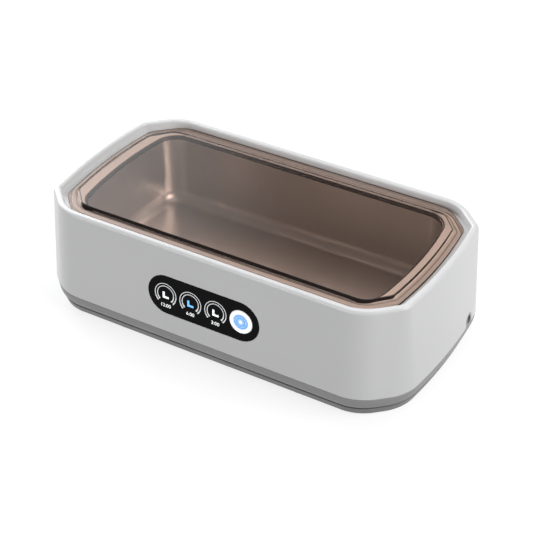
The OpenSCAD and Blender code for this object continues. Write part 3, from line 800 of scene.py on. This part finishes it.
# ---------------------------------------------------------------- lid
EDGE = 0.3
lid_rings = [ring(RAISE, 2.4, plateau_z - LID_T), ring(RAISE, 0.4, ledge_z)]
for a in (0, 30, 60, 90):
    out_by, up_by = EDGE * math.sin(math.radians(a)), EDGE * math.cos(math.radians(a))
    lid_rings.append(ring(LID, EDGE - out_by, ledge_z + EDGE - up_by))
for a in (0, 30, 60, 90):
    out_by, up_by = EDGE * math.cos(math.radians(a)), EDGE * math.sin(math.radians(a))
    lid_rings.append(ring(LID, EDGE - out_by, flange_z - EDGE + up_by))
lid_rings += [
    ring(RAISE, -0.45, flange_z),
    ring(RAISE, -0.1, flange_z + 0.04),
    ring(RAISE, 0.2, flange_z + 0.17),
    ring(RAISE, 1.75, plateau_z - 0.16),
    ring(RAISE, 1.98, plateau_z - 0.04),
    ring(RAISE, 2.3, plateau_z),
]
lid = loft("clear_lid", lid_rings)
smooth(lid, 60)
keep(lid, "lid", "smoked_clear", "lid")
# The bends at the foot and the head of the slope turn sight lines away; their faces get darker copies of
# the lid's plastic, painted shade that draws them as thin dark lines
BEND_H = 0.15
HAIR = 0.01
lid.data.materials.append(MATS["smoked_bend_painted_shade"])
lid.data.materials.append(MATS["smoked_crest_painted_shade"])
for face in lid.data.polygons:
    if face.normal.z > 0.5:
        if (flange_z + HAIR) * MM < face.center.z < (flange_z + BEND_H) * MM:
            face.material_index = 1
        if (plateau_z - BEND_H) * MM < face.center.z < (plateau_z - HAIR) * MM:
            face.material_index = 2

# ---------------------------------------------------------------- base frame with the inlet tab
BAND_INNER = 1.75
SPIGOT_H = 4
SPIGOT_GAP = 0.2
spigot_z = band_z + SPIGOT_H
band = loft("base_band", [
    body_ring(-0.7, seam_z),
    body_ring(-0.9, seam_z + 0.15),
    body_ring(-1.55, seam_z + 1.2),
    body_ring(-2.05, seam_z + 2.5),
    body_ring(-2.38, seam_z + 4.2),
    body_ring(wall_d(band_z - 0.2) + BOX_ROOM, band_z - 0.2),
    body_ring(wall_d(band_z) + 0.2, band_z),
    body_ring(wall_d(band_z) + WALL + SPIGOT_GAP, band_z),
    body_ring(wall_d(spigot_z) + WALL + SPIGOT_GAP, spigot_z),
    body_ring(BAND_INNER, spigot_z),
    body_ring(BAND_INNER, seam_z)], closed=True)
TAB_R = 3.2
tab_low_z = band_z - 1
tab_high_z = JACK_Z + 6
tab = loft("tab", [
    body_ring(wall_d(tab_low_z), tab_low_z),
    body_ring(wall_d(tab_high_z), tab_high_z),
    body_ring(BAND_INNER, tab_high_z),
    body_ring(BAND_INNER, tab_low_z)], closed=True)
combine(tab, arch("tab_shape", TAB_R, band_z - 0.5), "INTERSECT")
combine(band, tab, "UNION")
INLET_R = 2.1
along_x = Matrix.Translation((0, JACK_Y * MM, JACK_Z * MM)) @ Matrix.Rotation(math.pi / 2, 4, "Y")
combine(band, place(cylinder("cut_inlet", INLET_R, *END_CUT, 56), along_x), "DIFFERENCE")
tidy(band)
smooth(band)
keep(band, "body", "base_grey", "base_frame")

# ---------------------------------------------------------------- bottom cover and feet
screws_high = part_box("base_screws")[1]
SCREW_HEAD_R = 2.8
SCREW_HEAD_H = 2.0
HEAD_ROOM = 0.3
SHANK_HOLE_R = 1.7
POST_X = 62.0
POST_R = 4.2
end_post_x = screws_high.x / MM - SCREW_HEAD_R
post_y = screws_high.y / MM - SCREW_HEAD_R
POSTS = [(POST_X, post_y), (-POST_X, post_y), (-POST_X, -post_y), (POST_X, -post_y),
         (end_post_x, 0), (-end_post_x, 0)]
post_z = top_of("bottom_cover")
head_z = foot_of("base_screws") + SCREW_HEAD_H
COVER_T = 2.0
cover_floor_z = under_z + COVER_T
board_low, board_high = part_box("driver_board")
board_x = (board_low.x + board_high.x) / 2 / MM
board_y = (board_low.y + board_high.y) / 2 / MM
BOARD_INSET = 3.5
BOARD_POST_R = 2.8
PILOT_R = 1.0
board_posts = [(x, y) for x in (board_low.x / MM + BOARD_INSET, board_high.x / MM - BOARD_INSET)
               for y in (board_low.y / MM + BOARD_INSET, board_high.y / MM - BOARD_INSET)]
board_z = board_low.z / MM
jack_low, jack_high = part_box("dc_jack")

cover = loft("under_cover", [
    body_ring(1.5, under_z),
    body_ring(1.22, under_z + 0.04),
    body_ring(0.95, under_z + 0.16),
    body_ring(0.6, under_z + 0.45),
    body_ring(-0.45, seam_z - 1.05),
    body_ring(-0.58, seam_z - 0.9),
    body_ring(-0.45, seam_z - 0.8),
    body_ring(0.6, seam_z - 0.8),
    body_ring(0.6, seam_z),
    body_ring(3.0, seam_z),
    body_ring(3.4, cover_floor_z)])
# Posts start this deep in the floor, so that they join it
rooted_z = cover_floor_z - 0.5
stand = [cylinder("post", POST_R, rooted_z, post_z, 48, spot) for spot in POSTS]
stand += [cylinder("board_post", BOARD_POST_R, rooted_z, board_z, 40, spot) for spot in board_posts]
half_w = (jack_high.y - jack_low.y) / 2 / MM - 0.5
jack_back, jack_front = jack_low.x / MM, jack_high.x / MM
stand_points = [(jack_back, JACK_Y - half_w), (jack_front, JACK_Y - half_w),
                (jack_front, JACK_Y + half_w), (jack_back, JACK_Y + half_w)]
stand.append(prism("jack_stand", stand_points, rooted_z, jack_low.z / MM))
combine(cover, joined("stand", stand), "UNION")


def slot_points(x, y, width, length, steps=10):
    """Outline of a round-ended slot along Y about (x, y)."""
    r = width / 2
    out = []
    for side, a0 in ((1, 0), (-1, 180)):
        for k in range(steps + 1):
            a = math.radians(a0 + 180 * k / steps)
            out.append((x + r * math.cos(a), y + side * length / 2 + r * math.sin(a)))
    return out


SLOT_W = 2.0
SLOT_L = 18.0
SLOT_PITCH = 6.0
FOOT_GAP = 0.1
foot_spots = {}
for name in ("foot_front_left", "foot_front_right", "foot_rear_left", "foot_rear_right"):
    low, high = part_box(name)
    foot_spots[name] = ((low.x + high.x) / 2 / MM, (low.y + high.y) / 2 / MM)
# All four feet are alike
foot_r = (high.x - low.x) / 2 / MM
foot_t = high.z / MM
wide = [cylinder("head_room", SCREW_HEAD_R + HEAD_ROOM, 0, head_z, 48, spot) for spot in POSTS]
wide += [cylinder("foot_pocket", foot_r + FOOT_GAP, 0, foot_t, 64, spot) for spot in foot_spots.values()]
wide += [cylinder("pilot", PILOT_R, cover_floor_z + 0.4, board_z + 1, 32, spot) for spot in board_posts]
for k in range(-3, 4):
    slot_outline = slot_points(board_x + SLOT_PITCH * k, board_y, SLOT_W, SLOT_L)
    wide.append(prism("air_slot", slot_outline, 0, cover_floor_z + 1))
combine(cover, joined("wide_cuts", wide), "DIFFERENCE")
through = [cylinder("shank_room", SHANK_HOLE_R, 0, post_z + 1, 40, spot) for spot in POSTS]
combine(cover, joined("through_cuts", through), "DIFFERENCE")
tidy(cover)
smooth(cover)
keep(cover, "body", "cover_grey", "bottom_cover")

FOOT_EDGE = 0.5
FOOT_DISH = 0.12
pad_profile = [(0, FOOT_DISH), (foot_r - 2.2, FOOT_DISH), (foot_r - 1.9, 0.0), (foot_r - FOOT_EDGE, 0.0)]
pad_profile += rounded(foot_r - FOOT_EDGE, FOOT_EDGE, FOOT_EDGE, -72, 0, 4)
pad_profile += [(foot_r, foot_t), (0, foot_t)]
for name, spot in foot_spots.items():
    pad = turned("rubber_" + name, pad_profile, 72, spot)
    smooth(pad)
    keep(pad, "body", "foot_rubber", name)

# ---------------------------------------------------------------- panel, button and lens
PANEL_EDGE = 0.22


def pill_ring(inset, z):
    """The panel's outline moved inwards, at a depth from its face."""
    return [(x, y, z) for x, y in pill_points(panel_l - 2 * inset, PANEL_H - 2 * inset)]


glass = loft("gloss_panel", [pill_ring(0, -PANEL_T), pill_ring(0, -PANEL_EDGE),
                             pill_ring(0.07, -0.07), pill_ring(PANEL_EDGE, 0)])
place(glass, PANEL)
button_room = cylinder("button_room", BUTTON_R + BUTTON_GAP, -3, 1, 96, (BUTTON_X, 0))
combine(glass, place(button_room, PANEL), "DIFFERENCE")
tidy(glass)
smooth(glass)
keep(glass, "body", "panel_black", "control_panel")

BUTTON_BACK = -3.9
BUTTON_PROUD = 0.4
LENS_BACK = -2.2
LENS_R = 3.85
EDGE_R = 0.35
FLANGE_R = 7.0
FLANGE_T = 1.2
LENS_GAP = 0.05
LENS_EDGE = 0.2
flange_front = BUTTON_BACK + FLANGE_T
button_profile = [(0, BUTTON_BACK), (FLANGE_R, BUTTON_BACK), (FLANGE_R, flange_front),
                  (BUTTON_R, flange_front)]
button_profile += rounded(BUTTON_R - EDGE_R, BUTTON_PROUD - EDGE_R, EDGE_R, 0, 90)
button_profile += rounded(LENS_R + LENS_GAP + LENS_EDGE, BUTTON_PROUD - LENS_EDGE, LENS_EDGE, 90, 180, 4)
button_profile += [(LENS_R + LENS_GAP, LENS_BACK), (0, LENS_BACK)]
button = turned("push_button", button_profile, 112, (BUTTON_X, 0))
place(button, PANEL)
smooth(button)
keep(button, "button", "button_white", "power_button")

DOME = 0.22
LENS_PROUD = 0.3
DOME_STEPS = 8
lens_profile = [(0, LENS_BACK), (LENS_R, LENS_BACK)]
for k in range(DOME_STEPS + 1):
    out_by = 1 - k / DOME_STEPS
    lens_profile.append((LENS_R * out_by, LENS_PROUD - DOME * out_by ** 2))
lens = turned("lit_lens", lens_profile, 96, (BUTTON_X, 0))
place(lens, PANEL)
smooth(lens)
keep(lens, "button", "button_blue", "button_lens")

# ---------------------------------------------------------------- marks on the panel
MARK_T = 0.06


def mark_on_panel(mark, look):
    """Moves a mark from the panel's frame to its place, and keeps it on the body in the given look."""
    keep(place(mark, PANEL), "body", "panel_black", look=look)


def arc_mark(name, x, y, r, a0, a1, w0, w1, look, steps=40):
    """An open arc whose stroke swells from the middle to its ends."""
    outer, inner = [], []
    for k in range(steps + 1):
        t = k / steps
        a = math.radians(a0 + (a1 - a0) * t)
        w = w0 + (w1 - w0) * abs(2 * t - 1) ** 5
        outer.append((x + (r + w / 2) * math.cos(a), y + (r + w / 2) * math.sin(a)))
        inner.append((x + (r - w / 2) * math.cos(a), y + (r - w / 2) * math.sin(a)))
    verts, faces = [], []
    n = steps + 1
    for z in (0.0, MARK_T):
        verts += [(px, py, z) for px, py in outer] + [(px, py, z) for px, py in inner]
    for k in range(steps):
        o0, o1, i0, i1 = k, k + 1, n + k, n + k + 1
        t = 2 * n
        faces += [(o0, i0, i1, o1), (t + o0, t + o1, t + i1, t + i0),
                  (o0, o1, t + o1, t + o0), (i1, i0, t + i0, t + i1)]
    faces += [(0, 2 * n, 3 * n, n), (n - 1, 2 * n - 1, 4 * n - 1, 3 * n - 1)]
    mark = mesh_object(name, verts, faces)
    tidy(mark)
    mark_on_panel(mark, look)


def digits_mark(name, text, x, y, size, look):
    """Numbers under a dial, as thin raised plates."""
    curve = bpy.data.curves.new(name, "FONT")
    curve.body = text
    curve.size = size * MM
    curve.align_x = "CENTER"
    curve.align_y = "CENTER"
    curve.extrude = MARK_T / 2 * MM
    curve.resolution_u = 4
    obj = bpy.data.objects.new(name, curve)
    bpy.context.scene.collection.objects.link(obj)
    bpy.context.view_layer.update()
    deps = bpy.context.evaluated_depsgraph_get()
    mesh = bpy.data.meshes.new_from_object(obj.evaluated_get(deps))
    bpy.data.objects.remove(obj)
    mark = bpy.data.objects.new(name, mesh)
    bpy.context.scene.collection.objects.link(mark)
    mesh.transform(Matrix.Translation((x * MM, y * MM, MARK_T / 2 * MM)))
    tidy(mark)
    mark_on_panel(mark, look)


HAND = [(-1.6, 1.3), (-1.6, -2.0), (1.75, -2.0), (1.75, -0.95), (-0.5, -0.95), (-0.5, 1.3)]
ARC = (-46, 226)
ARC_Y = 0.1
OUTER_ARC_R = 5.75
INNER_ARC_R = 4.45
NUMBER_Y = -6.0
NUMBER_SIZE = 2.6
# Each dial's number and the colour of its hand: the middle one is chosen
DIAL_LOOKS = (("12:00", "mark_white"), ("6:00", "mark_blue"), ("3:00", "mark_white"))
for k, (x, (text, look)) in enumerate(zip(DIALS, DIAL_LOOKS)):
    tag = str(k + 1)
    arc_mark("dial_outer_" + tag, x, ARC_Y, OUTER_ARC_R, *ARC, 0.34, 0.75, "mark_dim")
    arc_mark("dial_inner_" + tag, x, ARC_Y, INNER_ARC_R, *ARC, 0.36, 0.85, "mark_dim")
    hand_points = [(x + px, py) for px, py in HAND]
    mark_on_panel(prism("dial_hand_" + tag, hand_points, 0.0, MARK_T), look)
    digits_mark("dial_number_" + tag, text, x, NUMBER_Y, NUMBER_SIZE, "mark_white")


# ---------------------------------------------------------------- floor, camera and light
def heading(azimuth, elevation):
    """Unit vector towards an azimuth measured from the front, turning right, and an elevation."""
    level = math.cos(elevation)
    return Vector((math.sin(azimuth) * level, -math.cos(azimuth) * level, math.sin(elevation)))


FLOOR_HALF = 30.0
FLOOR_GLOW = 0.80
floor_points = [(x * FLOOR_HALF, y * FLOOR_HALF, 0) for x, y in ((-1, -1), (1, -1), (1, 1), (-1, 1))]
floor = mesh_object("floor", floor_points, [(0, 1, 2, 3)], scale=1.0)
floor_mat, _, floor_bsdf = nodes_of("floor_paper")
floor_bsdf.inputs["Base Color"].default_value = (0.22, 0.22, 0.22, 1)
floor_bsdf.inputs["Roughness"].default_value = 0.9
floor_bsdf.inputs["Specular IOR Level"].default_value = 0.0
floor_bsdf.inputs["Emission Color"].default_value = (1, 1, 1, 1)
floor_bsdf.inputs["Emission Strength"].default_value = FLOOR_GLOW
floor.data.materials.append(floor_mat)
floor.visible_diffuse = False

# The camera's direction and roll, its distance and aim in metres, and its lens in millimetres
AZIMUTH = math.radians(31.016)
ELEVATION = math.radians(35.140)
ROLL = math.radians(-0.130)
DISTANCE = 0.7244
AIM_Z = 0.02958
SHIFT_X = -0.00192
SHIFT_Y = 0.00530
LENS = 101.67
back = heading(AZIMUTH, ELEVATION)
right = Vector((math.cos(AZIMUTH), math.sin(AZIMUTH), 0))
up = back.cross(right)
rolled_right = right * math.cos(ROLL) + up * math.sin(ROLL)
rolled_up = up * math.cos(ROLL) - right * math.sin(ROLL)
eye = Vector((0, 0, AIM_Z)) + back * DISTANCE - rolled_right * SHIFT_X - rolled_up * SHIFT_Y
camera_data = bpy.data.cameras.new("camera")
camera_data.lens = LENS
camera_data.sensor_width = 36.0
camera_data.clip_end = 100
camera = bpy.data.objects.new("camera", camera_data)
bpy.context.scene.collection.objects.link(camera)
camera.matrix_world = Matrix.Translation(eye) @ Matrix((
    (rolled_right.x, rolled_up.x, back.x, 0), (rolled_right.y, rolled_up.y, back.y, 0),
    (rolled_right.z, rolled_up.z, back.z, 0), (0, 0, 0, 1)))
bpy.context.scene.camera = camera


LIGHT_AIM = Vector((0, 0, 0.03))


def softbox(name, azimuth, elevation, distance, size, power):
    """An area light that faces the object."""
    way = heading(math.radians(azimuth), math.radians(elevation))
    data = bpy.data.lights.new(name, "AREA")
    data.shape = "RECTANGLE"
    data.size, data.size_y = size
    data.energy = power
    lamp = bpy.data.objects.new(name, data)
    bpy.context.scene.collection.objects.link(lamp)
    facing = way.to_track_quat("Z", "Y").to_matrix().to_4x4()
    lamp.matrix_world = Matrix.Translation(LIGHT_AIM + way * distance) @ facing


# Each softbox: azimuth and elevation in degrees, distance and size in metres, power in watts
SOFTBOXES = {
    "key_right": (95, 30, 1.3, (0.9, 0.7), 14.5),
    "top": (170, 66, 1.3, (1.2, 1.0), 7.0),
    "fill_low": (-10, 12, 1.5, (1.3, 0.5), 12.1),
}
for lamp_name, settings in SOFTBOXES.items():
    softbox(lamp_name, *settings)

# The studio is a pale room with one soft bright patch low behind the left end. Its core and
# edge are angles from its middle, in degrees.
ROOM_STRENGTH = 0.22
PATCH_STRENGTH = 5.6
PATCH_AZIMUTH = -117
PATCH_ELEVATION = 26
PATCH_CORE = 14
PATCH_EDGE = 31
world = bpy.data.worlds.new("studio")
bpy.context.scene.world = world
world.use_nodes = True
room = world.node_tree
way = add(room, "ShaderNodeTexCoord")
toward = add(room, "ShaderNodeVectorMath", operation="DOT_PRODUCT")
toward.inputs[1].default_value = heading(math.radians(PATCH_AZIMUTH), math.radians(PATCH_ELEVATION))
room.links.new(way.outputs["Generated"], toward.inputs[0])
lobe = add(room, "ShaderNodeMapRange")
lobe.interpolation_type = "SMOOTHSTEP"
lobe.inputs["From Min"].default_value = math.cos(math.radians(PATCH_EDGE))
lobe.inputs["From Max"].default_value = math.cos(math.radians(PATCH_CORE))
lobe.inputs["To Min"].default_value = ROOM_STRENGTH
lobe.inputs["To Max"].default_value = ROOM_STRENGTH + PATCH_STRENGTH
room.links.new(toward.outputs["Value"], lobe.inputs["Value"])
sky = room.nodes["Background"]
sky.inputs["Color"].default_value = (0.97, 0.98, 1.0, 1)
room.links.new(lobe.outputs["Result"], sky.inputs["Strength"])

scene = bpy.context.scene
scene.view_settings.view_transform = "Standard"
scene.view_settings.look = "None"
scene.render.film_transparent = False
if hasattr(scene, "cycles"):
    scene.cycles.use_denoising = True
    scene.cycles.transparent_max_bounces = 16
